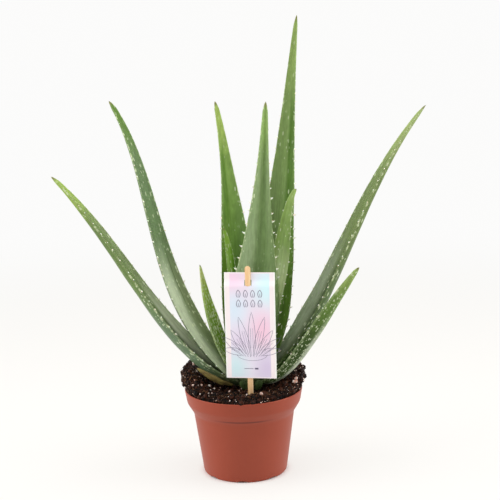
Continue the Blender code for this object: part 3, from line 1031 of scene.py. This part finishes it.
# %% Soil body
SOIL_LEVEL = 0.0885
SOIL_STEPS = 260
SOIL_CROWN = [  # radius, rise of the radius, height over the front, rise of the height
    (0.0574, 0.0006, 0.0000, 0.0006),
    (0.0570, 0.0054, 0.0005, 0.0095),
    (0.0555, 0.0040, 0.0015, 0.0165),
    (0.0520, 0.0010, 0.0020, 0.0185),
    (0.0440, 0.0000, 0.0025, 0.0120),
    (0.0330, 0.0000, 0.0020, 0.0050),
    (0.0230, 0.0000, 0.0020, 0.0015),
    (0.0100, 0.0000, 0.0015, 0.0000),
    (0.0010, 0.0000, 0.0015, 0.0000),
]
CROWN_RINGS = 72
LUMPS = ((0.0020, 0.011, 31), (0.0022, 0.0050, 32), (0.0011, 0.0021, 33))  # height, size, seed


def heaped(angle):
    """0 at the front, where the soil is low, and 1 at the sides and the back."""
    t = min(max((math.sin(angle) + 0.93) / 0.78, 0.0), 1.0)
    return t * t * (3 - 2 * t)


def make_soil_mesh():
    side = [(radius - 0.0004, height + 0.0004) for radius, height in pot_profile()[:8:-1]]
    rings = [circle(radius, height, SOIL_STEPS) for radius, height in side[:-1]]
    rings.append(circle(side[-1][0], POT_HEIGHT - 0.0012, SOIL_STEPS))
    loose = [0.0] * (len(rings) * SOIL_STEPS)
    for k in range(CROWN_RINGS):
        part = k / (CROWN_RINGS - 1)
        radius, spread, level, rise = (
            between([row[column] for row in SOIL_CROWN], part) for column in range(4)
        )
        rough = min(1.0, 0.35 + part * 9)
        ring = []
        for step in range(SOIL_STEPS):
            angle = 2 * math.pi * step / SOIL_STEPS
            heap = heaped(angle)
            reach = radius + spread * heap
            point = Vector((
                reach * math.cos(angle), reach * math.sin(angle), SOIL_LEVEL + level + rise * heap
            ))
            lump = sum(high * wander(point, size, seed) for high, size, seed in LUMPS)
            outwards = Vector((math.cos(angle), math.sin(angle), 0)) * (1 - part) * heap
            push = outwards + Vector((0, 0, 0.6 + 0.4 * part))
            ring.append(point + push * (lump - 0.0009) * rough)
        loose += [1.0] * SOIL_STEPS
        rings.append(ring)
    mesh = turned("soil", rings)
    mesh.shade_smooth()
    mesh.attributes.new("loose", "FLOAT", "POINT").data.foreach_set("value", loose)
    return mesh


def soil_finish(name, dark, light, patch, roughness=0.9, shine=0.1):
    peat = Finish(name, Specular_IOR_Level=shine)
    place = peat.object_place()
    cells = {"Vector": place, "Scale": 420.0}
    grain = peat.split(peat.node("ShaderNodeTexVoronoi", None, cells, "Color"), 0, "Color")
    wet = peat.noise(place, patch, 3.0)
    fine = peat.noise(place, 1300.0, 3.0)
    colour = peat.mix(peat.fade(grain * 0.75 + wet * 0.5, 0.35, 1.0), dark, light)
    peat.set(Base_Color=colour, Roughness=roughness - wet * 0.3)
    peat.bump(fine + grain * 0.5, 0.0004, 0.8)
    return peat.material


# painted shade: the soil body is nearly black, so the gaps between the crumbs read as deep shade
SHADED_PEAT = soil_finish("peat", (0.002, 0.0008, 0.0004), (0.014, 0.005, 0.002), 90.0)
soil = add_object("soil", make_soil_mesh())
soil.data.materials.append(SHADED_PEAT)
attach(soil, "root")
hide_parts("potting_soil")
print("soil:", len(soil.data.polygons), "faces")

# %% [markdown]
# Loose crumbs, white perlite grains and plant fibres lie on top. They repeat by
# the thousand, so Geometry Nodes scatter them over the part of the soil that is
# loose. Each bit is turned, flattened and sized by chance, most of them small.

# %% Loose bits on the soil
def crumb_shape(tree):
    return tree.node("GeometryNodeMeshIcoSphere", None, {"Radius": 1.0, "Subdivisions": 1})


def perlite_shape(tree):
    ball = tree.node("GeometryNodeMeshIcoSphere", None, {"Radius": 1.0, "Subdivisions": 2})
    place = tree.node("GeometryNodeInputPosition")
    dents = tree.noise(place, 1.6, 2.0) * 0.9 + 0.5
    sockets = {0: ball, "Offset": tree.scaled(place, dents - 1)}
    return tree.node("GeometryNodeSetPosition", None, sockets)


def fibre_shape(tree):
    bow = {"Start": (-4, 0, -0.4), "Middle": (0.4, 1.6, 3.2), "End": (4, -0.6, -0.3)}
    bow["Resolution"] = 9
    line = tree.node("GeometryNodeCurveQuadraticBezier", None, bow)
    thread = tree.node("GeometryNodeCurvePrimitiveCircle", None, {"Resolution": 4, "Radius": 0.13})
    sockets = {"Curve": line, "Profile Curve": thread, "Fill Caps": True}
    return tree.node("GeometryNodeCurveToMesh", None, sockets)


def scatter_growth(name, shape, flatten, finish):
    """Scatter a shape over the loose part of a mesh, each turned and sized by chance."""
    inputs = {"Density": 1000.0, "Small": 0.001, "Large": 0.002, "Sink": 0.0, "Seed": 1}
    tree = Growth(name, inputs | {"Material": finish})
    spread = {"Mesh": tree["Geometry"], "Seed": tree["Seed"]}
    spread["Density"] = tree.named("loose") * tree["Density"]
    scatter = tree.node("GeometryNodeDistributePointsOnFaces", None, spread)
    turn, normal = (Wire(tree, scatter.socket.node.outputs[key]) for key in ("Rotation", "Normal"))
    spins = (((0, 0, 1), 0.0, 6.28), ((1, 0, 0), -0.7, 0.7))  # axis, least and most in radians
    for more, (axis, least, most) in enumerate(spins, 1):
        sockets = {"Axis": axis, "Angle": tree.chance(least, most, tree["Seed"] + more)}
        spin = tree.node("FunctionNodeAxisAngleToRotation", None, sockets)
        local = {"rotation_space": "LOCAL"}
        turn = tree.node("FunctionNodeRotateRotation", local, {0: turn, 1: spin})
    lot = tree.chance(0.0, 1.0, tree["Seed"] + 3)
    size = tree["Small"] + (tree["Large"] - tree["Small"]) * lot * lot
    shapes = {0: flatten, 1: (1.0, 1.0, 1.0), "Seed": tree["Seed"] + 4}
    parts = tree.node("FunctionNodeRandomValue", {"data_type": "FLOAT_VECTOR"}, shapes)
    scale = tree.scaled(parts, size)
    sockets = {0: scatter, "Offset": tree.scaled(normal, tree["Sink"] * size)}
    points = tree.node("GeometryNodeSetPosition", None, sockets)
    sockets = {"Points": points, "Instance": shape(tree), "Rotation": turn, "Scale": scale}
    return tree.finish(tree.node("GeometryNodeInstanceOnPoints", None, sockets))


DARK_PEAT = (0.002, 0.0008, 0.0004)
CRUMB = soil_finish("peat crumb", DARK_PEAT, (0.044, 0.011, 0.0035), 300.0, 0.6, 0.12)
PERLITE = soil_finish("perlite", (0.45, 0.24, 0.18), (0.95, 0.88, 0.80), 160.0)
FIBRE = soil_finish("fibre", (0.06, 0.022, 0.010), (0.34, 0.18, 0.085), 200.0)
LITTER = {  # shape, flattest, pieces per square metre, smallest, largest, sunk by, finish
    "soil_crumbs": (crumb_shape, (0.45, 0.45, 0.35), 330000.0, 0.0005, 0.0019, 0.1, CRUMB),
    "soil_lumps": (crumb_shape, (0.6, 0.5, 0.4), 36000.0, 0.0013, 0.0042, 0.1, CRUMB),
    "soil_perlite": (perlite_shape, (0.5, 0.5, 0.4), 7000.0, 0.0005, 0.0025, 0.4, PERLITE),
    "soil_specks": (crumb_shape, (0.5, 0.5, 0.4), 36000.0, 0.0003, 0.0010, 0.4, PERLITE),
    "soil_fibres": (fibre_shape, (0.6, 0.3, 0.25), 26000.0, 0.0008, 0.0017, 0.35, FIBRE),
}
for seed, (name, row) in enumerate(LITTER.items(), 11):
    shape, flatten, density, small, large, sink, finish = row
    litter = grow(
        name, scatter_growth(name, shape, flatten, finish), soil.data.copy(),
        density=density, small=small, large=large, sink=sink, seed=seed, material=finish,
    )
    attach(litter, "root")

# %% [markdown]
# ## Stem, stubs and an old leaf's base
#
# The leaves stand on a short stem, ringed by the scars of lost leaves. It is
# turned from a profile, and fine rings and noise make it rough. Little of it
# shows between the leaf feet.

# %% Stem
STEM_PROFILE = [
    (0.0040, 0.045), (0.0070, 0.055), (0.0100, 0.080), (0.0150, 0.090), (0.0150, 0.093),
    (0.0110, 0.096),
]


def make_stem():
    rings = []
    for radius, height in soften(STEM_PROFILE, 0.002, 8):
        ring = circle(radius, height, 72, CROWN)
        for point in ring:
            scar = 0.0004 * math.sin(point.z * 2400 + 1.5 * math.atan2(point.y, point.x - CROWN.x))
            point += Vector((point.x - CROWN.x, point.y, 0)).normalized() * (
                scar + 0.0006 * wander(point, 0.004, 41)
            )
        rings.append(ring)
    mesh = turned("stem_bark", rings)
    mesh.shade_smooth()
    return add_object("stem_bark", mesh)


def bark_finish():
    bark = Finish("stem bark", Roughness=0.8, Specular_IOR_Level=0.2)
    place = bark.object_place()
    streaks = bark.noise(bark.stretch(place, (500, 500, 1500)), 1.0, 4.0, 0.6)
    scars = bark.fade(streaks, 0.3, 0.7)
    bark.set(Base_Color=bark.mix(scars, (0.10, 0.075, 0.03), (0.28, 0.25, 0.10)))
    return bark.bump(streaks, 0.0005, 0.8).material


stem = make_stem()
stem.data.materials.append(bark_finish())
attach(stem, "root")
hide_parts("stem")
print("stem:", len(stem.data.polygons), "faces")

# %% [markdown]
# In front two cut stubs are left, and at the left an old leaf has dried to a
# brown husk. They are lofted like the leaves, only shorter and more wrinkled,
# and their finish is streaked and dull.

# %% Stubs and dry base
SMALL_PARTS = {
    "dry_leaf_base": Leaf(
        ((-0.022, -0.022, 0.098), (-0.030, -0.024, 0.103),
         (-0.038, -0.025, 0.109), (-0.046, -0.024, 0.115)),
        (0.010, 0.012, 0.011, 0.008, 0.003), 205, "dry", 0, 11, 0.25),
    "leaf_stub_left": Leaf(
        ((0.001, -0.024, 0.0925), (0.000, -0.026, 0.0960),
         (0.000, -0.027, 0.0990), (-0.001, -0.028, 0.1020)),
        (0.007, 0.008, 0.008, 0.006, 0.003), -95, "stub", 0, 12, 0.05),
    "leaf_stub_right": Leaf(
        ((0.015, -0.024, 0.0925), (0.016, -0.026, 0.0960),
         (0.016, -0.027, 0.0990), (0.017, -0.028, 0.1020)),
        (0.007, 0.008, 0.008, 0.006, 0.003), -80, "stub", 0, 13, 0.05),
}


def husk_finish(name, first, second, third):
    """Dried or cut leaf tissue: streaked along the leaf, dull and wrinkled."""
    husk = Finish(name, Specular_IOR_Level=0.3)
    place = husk.attribute("straight", "Vector")
    streaks = husk.noise(husk.stretch(place, (700, 90, 700)), 1.0, 4.0, 0.6)
    broad = husk.noise(place, 130.0)
    colour = husk.mix(husk.fade(streaks, 0.3, 0.7), first, second)
    colour = husk.mix(husk.fade(broad, 0.45, 0.7) * 0.8, colour, third)
    husk.set(Base_Color=colour, Roughness=0.5 + streaks * 0.3)
    husk.bump(streaks, 0.0005, 0.8)
    return husk.material


HUSK_COLOURS = {  # two for the streaks and a third for broad patches
    "dry husk": ((0.12, 0.085, 0.022), (0.25, 0.20, 0.055), (0.055, 0.028, 0.010)),
    "cut stub": ((0.028, 0.055, 0.012), (0.060, 0.105, 0.022), (0.018, 0.030, 0.008)),
}
HUSKS = {
    key: husk_finish(name, *HUSK_COLOURS[name])
    for key, name in (("dry", "dry husk"), ("stub", "cut stub"))
}
for name, part in SMALL_PARTS.items():
    mesh = leaf_mesh(f"{name}_skin", part, rings=48, dents=0.0008)
    mesh.materials.append(HUSKS[part.finish])
    husk = add_object(f"{name}_skin", mesh)
    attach(husk, "root")
    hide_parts(name)
print("small parts:", len(SMALL_PARTS))

# %% [markdown]
# ## Splint and care card
#
# A flat bamboo splint stands in the soil, with a slanted foot and a round end.
# It is an outline given a thickness, with worn edges, and long fibres in its
# colour. The card's places are measured from its middle line.

# %% Splint
CARD_TURN = Matrix.Rotation(math.radians(-8), 4, "Z")
SPLINT_PLACE = Vector((0.0073, -0.034, 0.0))
SPLINT_WIDTH = 0.0054
SPLINT_THICKNESS = 0.0011
SPLINT_HEIGHTS = (0.040, 0.220)


def on_splint(x, y, z):
    """A point given from the splint's middle line, with y to the back."""
    return CARD_TURN @ Vector((x, y, z)) + SPLINT_PLACE


def make_splint():
    half = SPLINT_WIDTH / 2
    low, high = SPLINT_HEIGHTS
    outline = [(-half, low + 0.006), (half, low)]
    outline += [
        (half * math.cos(a), high - half + half * math.sin(a))
        for a in (math.pi * k / 24 for k in range(25))
    ]
    depth = SPLINT_THICKNESS / 2
    faces = [[on_splint(x, y, z) for x, z in outline] for y in (-depth, depth)]
    splint = add_object("splint", turned("splint", faces))
    round_edges = splint.modifiers.new("worn edges", "BEVEL")
    round_edges.width = 0.00025
    round_edges.segments = 3
    round_edges.angle_limit = math.radians(50)
    return settle(splint, 40)


def bamboo_finish():
    bamboo = Finish("bamboo", Roughness=0.55, Specular_IOR_Level=0.35)
    place = bamboo.object_place()
    grain = bamboo.noise(bamboo.stretch(place, (2600, 900, 40)), 1.0, 3.0, 0.6)
    broad = bamboo.noise(bamboo.stretch(place, (300, 100, 18)), 1.0)
    fibres = bamboo.fade(grain, 0.35, 0.65)
    colour = bamboo.mix(fibres, (0.80, 0.42, 0.165), (1.0, 0.76, 0.45))
    colour = bamboo.mix(bamboo.fade(broad, 0.5, 0.8) * 0.5, colour, (0.80, 0.44, 0.17))
    bamboo.set(Base_Color=colour)
    return bamboo.bump(grain, 0.00012, 0.8).material


splint = make_splint()
splint.data.materials.append(bamboo_finish())
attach(splint, "root")
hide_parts("bamboo_splint")
print("splint:", len(splint.data.polygons), "faces")

# %% [markdown]
# The card hangs on the splint by a slit: below the slit the card is in front of
# the splint, above it behind. It is one bent sheet, so its grid leaves the slit
# open and Solidify gives it thickness.

# %% Card sheet
CARD_WIDTH = 0.050
CARD_LEFT = -0.0235  # the card's left edge from the splint's middle line
CARD_HEIGHTS = (0.1070, 0.2135)
CARD_THICKNESS = 0.0005
SLIT_Z = 0.2030
SLIT_BEND = 0.008  # height over which the card passes from before to behind the splint
SLIT_HALF_WIDTH = SPLINT_WIDTH / 2 + 0.0008
SLIT_HALF_HEIGHT = 0.003
SLIT_ARCH = 0.0024  # how much higher the slit's lower edge is at its ends
STAND_OFF = SPLINT_THICKNESS / 2 + CARD_THICKNESS / 2 + 0.0004


def card_back(height):
    """How far the card's middle lies behind the splint's at a height."""
    t = min(max((height - SLIT_Z) / SLIT_BEND + 0.5, 0.0), 1.0)
    return STAND_OFF * (2 * t * t * (3 - 2 * t) - 1)


def make_card():
    slit_low, slit_high = SLIT_Z - SLIT_HALF_HEIGHT, SLIT_Z + SLIT_HALF_HEIGHT
    columns = [CARD_LEFT + CARD_WIDTH * k / 24 for k in range(25)]
    columns = [x for x in columns if abs(x) - SLIT_HALF_WIDTH > 0.0009]
    columns = sorted(columns + [SLIT_HALF_WIDTH * k / 6 for k in range(-6, 7)])
    low, high = CARD_HEIGHTS
    rows = [low + (slit_low - 0.005 - low) * k / 30 for k in range(30)]
    rows += [slit_low + 0.001 * k for k in range(-5, 10)]
    rows += [high]
    bm = bmesh.new()
    grid = [[bm.verts.new(on_splint(x, card_back(z), z)) for x in columns] for z in rows]
    for x, vert in zip(columns, grid[rows.index(slit_low)]):
        lift = SLIT_ARCH * (1 - math.sqrt(max(1 - (x / SLIT_HALF_WIDTH) ** 2, 0.0)))
        if abs(x) < SLIT_HALF_WIDTH:
            vert.co = on_splint(x, card_back(slit_low + lift), slit_low + lift)
    layer = bm.loops.layers.uv.new("print")
    place = {}
    for row, z in zip(grid, rows):
        for vert, x in zip(row, columns):
            place[vert] = ((x - CARD_LEFT) / CARD_WIDTH, (z - low) / (high - low))
    for j, (below, above) in enumerate(zip(grid, grid[1:])):
        for i in range(len(columns) - 1):
            middle_x = (columns[i] + columns[i + 1]) / 2
            middle_z = (rows[j] + rows[j + 1]) / 2
            if abs(middle_x) < SLIT_HALF_WIDTH and slit_low < middle_z < slit_high:
                continue
            face = bm.faces.new((below[i], below[i + 1], above[i + 1], above[i]))
            for loop in face.loops:
                loop[layer].uv = place[loop.vert]
    card = add_object("card_sheet", keep_mesh(bm, "card_sheet"))
    thick = card.modifiers.new("board", "SOLIDIFY")
    thick.thickness = CARD_THICKNESS
    thick.offset = 0
    return settle(card, 40)


# %% [markdown]
# The print is a soft wash of pastel colours inside a pale border. Each colour is
# a round cloud on the card's UV map, laid over the one before it. A trace of
# emission stands for the light that comes through the thin card.

# %% Card finish
PASTELS = [  # centre on the card, reach, colour
    ((0.15, 0.95), 0.34, (0.90, 0.66, 0.79)),
    ((0.85, 0.86), 0.34, (0.66, 0.90, 0.94)),
    ((0.20, 0.66), 0.30, (0.70, 0.80, 0.90)),
    ((0.74, 0.46), 0.36, (0.90, 0.60, 0.73)),
    ((0.30, 0.34), 0.30, (0.78, 0.68, 0.82)),
    ((0.20, 0.10), 0.30, (0.64, 0.82, 0.86)),
    ((0.82, 0.10), 0.30, (0.68, 0.58, 0.76)),
]


def card_finish():
    card = Finish("printed card", Roughness=0.38, Specular_IOR_Level=0.35)
    uv = card.node("ShaderNodeUVMap", {"uv_map": "print"})
    u, v = card.split(uv, 0), card.split(uv, 1)
    wash = card.mix(0.5, (0.78, 0.78, 0.88), (0.84, 0.74, 0.84))
    for centre, reach, colour in PASTELS:
        sockets = {0: card.stretch(uv, (1, 1.5, 0)), 1: (centre[0], centre[1] * 1.5, 0)}
        distance = card.node("ShaderNodeVectorMath", {"operation": "DISTANCE"}, sockets, "Value")
        wash = card.mix(card.fade(distance, reach * 1.3, 0.0), wash, colour)
    from_edge = 0.5 - abs(u - 0.5)
    from_end = 0.5 - abs(v - 0.5)
    panel = card.fade(from_edge, 0.104, 0.110) * card.fade(from_end, 0.008, 0.011)
    border = card.mix(card.fade(from_edge, 0.015, 0.03), (0.93, 0.93, 0.88), (0.93, 0.83, 0.84))
    printed = card.mix(panel, border, wash)
    card.set(Base_Color=printed, Emission_Color=printed, Emission_Strength=0.06)
    fine = card.noise(card.object_place(), 2400.0, 2.0)
    return card.bump(fine, 0.00003, 0.5).material


card = make_card()
card.data.materials.append(card_finish())
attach(card, "root")
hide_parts("care_card")
print("card:", len(card.data.polygons), "faces")

# %% [markdown]
# The fine lines on the card are thin ribbons that lie a hair in front of it, so
# they stay sharp at any distance. Two rows of small leaf shapes, a rosette over
# a bowl line and two short bars are plain ornaments.

# %% Print lines
PRINT_COLOURS = ((0.13, 0.11, 0.22), (0.34, 0.28, 0.42))
PRINT_LIFT = 0.00006
ORNAMENTS = [(0.0138 + 0.0071 * k, 0.0820 - 0.0098 * row) for row in (0, 1) for k in range(4)]
PRINTED_LEAVES = 9
ROSETTE = 0.0262  # its middle, from the card's left edge


def ribbon(bm, points, width):
    """A flat line on the card's front through (u, v) points in metres from its corner."""
    left = [Vector(point) for point in points]
    edges = []
    for k, point in enumerate(left):
        ahead = left[min(k + 1, len(left) - 1)] - left[max(k - 1, 0)]
        normal = Vector((-ahead.y, ahead.x)).normalized() * width / 2
        pair = []
        for x, z in (point + normal, point - normal):
            height = CARD_HEIGHTS[0] + z
            front = card_back(height) - CARD_THICKNESS / 2 - PRINT_LIFT
            pair.append(bm.verts.new(on_splint(CARD_LEFT + x, front, height)))
        edges.append(pair)
    for (a, b), (c, d) in zip(edges, edges[1:]):
        bm.faces.new((a, b, d, c))


def leaf_outline(base, tip, lean, width, steps=14):
    """Both sides of a pointed leaf that bows sideways, as one line from foot to foot."""
    base, tip = Vector(base), Vector(tip)
    side = Vector((tip.y - base.y, base.x - tip.x)).normalized()
    line = []
    for k in range(2 * steps + 1):
        t = 1 - abs(1 - k / steps)
        hand = 1 if k <= steps else -1
        belly = hand * width / 2 * math.sin(math.pi * min(0.12 + 0.88 * t, 1)) ** 0.8
        line.append(base.lerp(tip, t) + side * (belly + lean * math.sin(math.pi * t / 2) * t))
    return line


def make_print():
    bm = bmesh.new()
    for foot in map(Vector, ORNAMENTS):
        ribbon(bm, leaf_outline(foot, foot + Vector((0, 0.0074)), 0, 0.0040), 0.00055)
        ribbon(bm, [foot, foot + Vector((0, 0.0040))], 0.0004)
    for k in range(PRINTED_LEAVES):
        share = 2 * k / (PRINTED_LEAVES - 1) - 1
        angle = math.radians(90 - 66 * share)
        reach = 0.046 - 0.024 * abs(share) ** 0.8 + 0.004 * (k % 2)
        foot = Vector((ROSETTE + 0.010 * share, 0.0215 + 0.003 * abs(share)))
        tip = foot + Vector((math.cos(angle) * 0.80, math.sin(angle))) * reach
        ribbon(bm, leaf_outline(foot, tip, 0.004 * share, 0.0070), 0.00036)
        for side in (-1, 1):
            shift = Vector((0.0011 * side, 0))
            ribbon(bm, [foot.lerp(tip, t) + shift for t in (0.2, 0.35, 0.5, 0.64)], 0.00024)
    bowl = [
        Vector((ROSETTE + 0.0150 * math.cos(a), 0.0245 + 0.0065 * math.sin(a)))
        for a in (math.pi * (1.02 + 0.96 * k / 24) for k in range(25))
    ]
    ribbon(bm, bowl, 0.00030)
    ribbon(bm, [(0.0180, 0.0098), (0.0270, 0.0098)], 0.0005)
    ribbon(bm, [(0.0285, 0.0098), (0.0320, 0.0098)], 0.0016)
    bmesh.ops.solidify(bm, geom=bm.faces[:], thickness=0.00003)
    bmesh.ops.recalc_face_normals(bm, faces=bm.faces)
    return add_object("card_print", keep_mesh(bm, "card_print"))


ink = Finish("card ink", Roughness=0.45)
ink_shade = ink.noise(ink.object_place(), 500.0)
ink.set(Base_Color=ink.mix(ink_shade, *PRINT_COLOURS))
drawing = make_print()
drawing.data.materials.append(ink.material)
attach(drawing, "root")
print("print:", len(drawing.data.polygons), "faces")

# %% [markdown]
# ## The floor
#
# The plant stands on a pale matt board. Further away the board fades into the
# white of the room, so no edge shows behind the plant.

# %% Floor
FLOOR_RADIUS = 6.0
GLOWS = (((1.0, 0.985, 0.950), 0.93), (ROOM_WHITE, WHITE_SEEN))  # near and far
POT_EDGE = (0.041, 0.050)  # from the pot's axis: the glow starts, and is full


def floor_finish():
    """Pale matt board near the plant that fades into the white of the room."""
    board = Finish("floor board", Roughness=0.6)
    place = board.object_place()
    reach = board.length(place)
    board.set(Base_Color=(0.88, 0.86, 0.84))
    glows = [
        board.node("ShaderNodeEmission", None, {"Color": colour, "Strength": strength}, "Emission")
        for colour, strength in GLOWS
    ]
    sockets = {0: board.fade(reach, 0.3, 1.4), 1: glows[0], 2: glows[1]}
    far = board.node("ShaderNodeMixShader", None, sockets)
    white = board.fade(reach, *POT_EDGE) * (0.72 + 0.28 * board.fade(reach, 0.15, 1.2))
    sockets = {0: white, 1: Wire(board, board.shader.outputs[0]), 2: far}
    both = board.node("ShaderNodeMixShader", None, sockets)
    board.fill(board.tree.nodes["Material Output"].inputs[0], both)
    return board.material


bm = bmesh.new()
bmesh.ops.create_circle(bm, cap_ends=True, segments=96, radius=FLOOR_RADIUS)
floor_mesh = keep_mesh(bm, "floor")
floor_mesh.materials.append(floor_finish())
floor = add_object("floor", floor_mesh)
print("floor radius:", FLOOR_RADIUS, "m")
